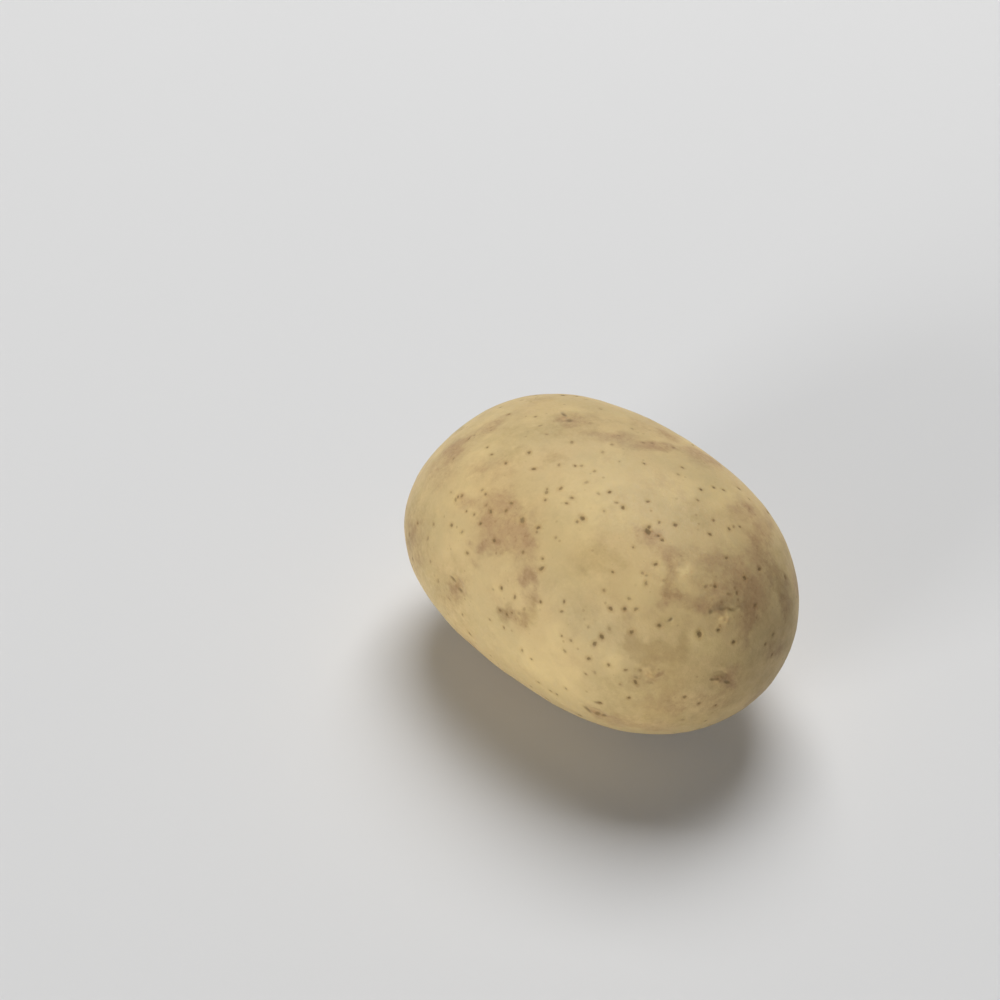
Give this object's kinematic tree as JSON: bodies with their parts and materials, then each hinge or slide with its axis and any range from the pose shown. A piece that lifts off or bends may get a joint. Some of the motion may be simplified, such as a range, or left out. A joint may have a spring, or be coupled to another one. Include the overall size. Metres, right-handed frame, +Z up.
{
  "type": "potato",
  "caption": "Whole unpeeled potato, a smooth oval tuber with shallow eyes, lying on its side on a small flat spot.",
  "frame": {"origin": "On the surface that the potato rests on, below the middle of its length and width", "axes": "+X along the length towards the rose end, where most eyes are; +Z up, across its least thickness"},
  "size_m": [0.1, 0.0684, 0.0596],
  "materials": {
    "skin": "matte"
  },
  "bodies": {
    "root": {"potato": "skin"}
  },
  "joints": []
}
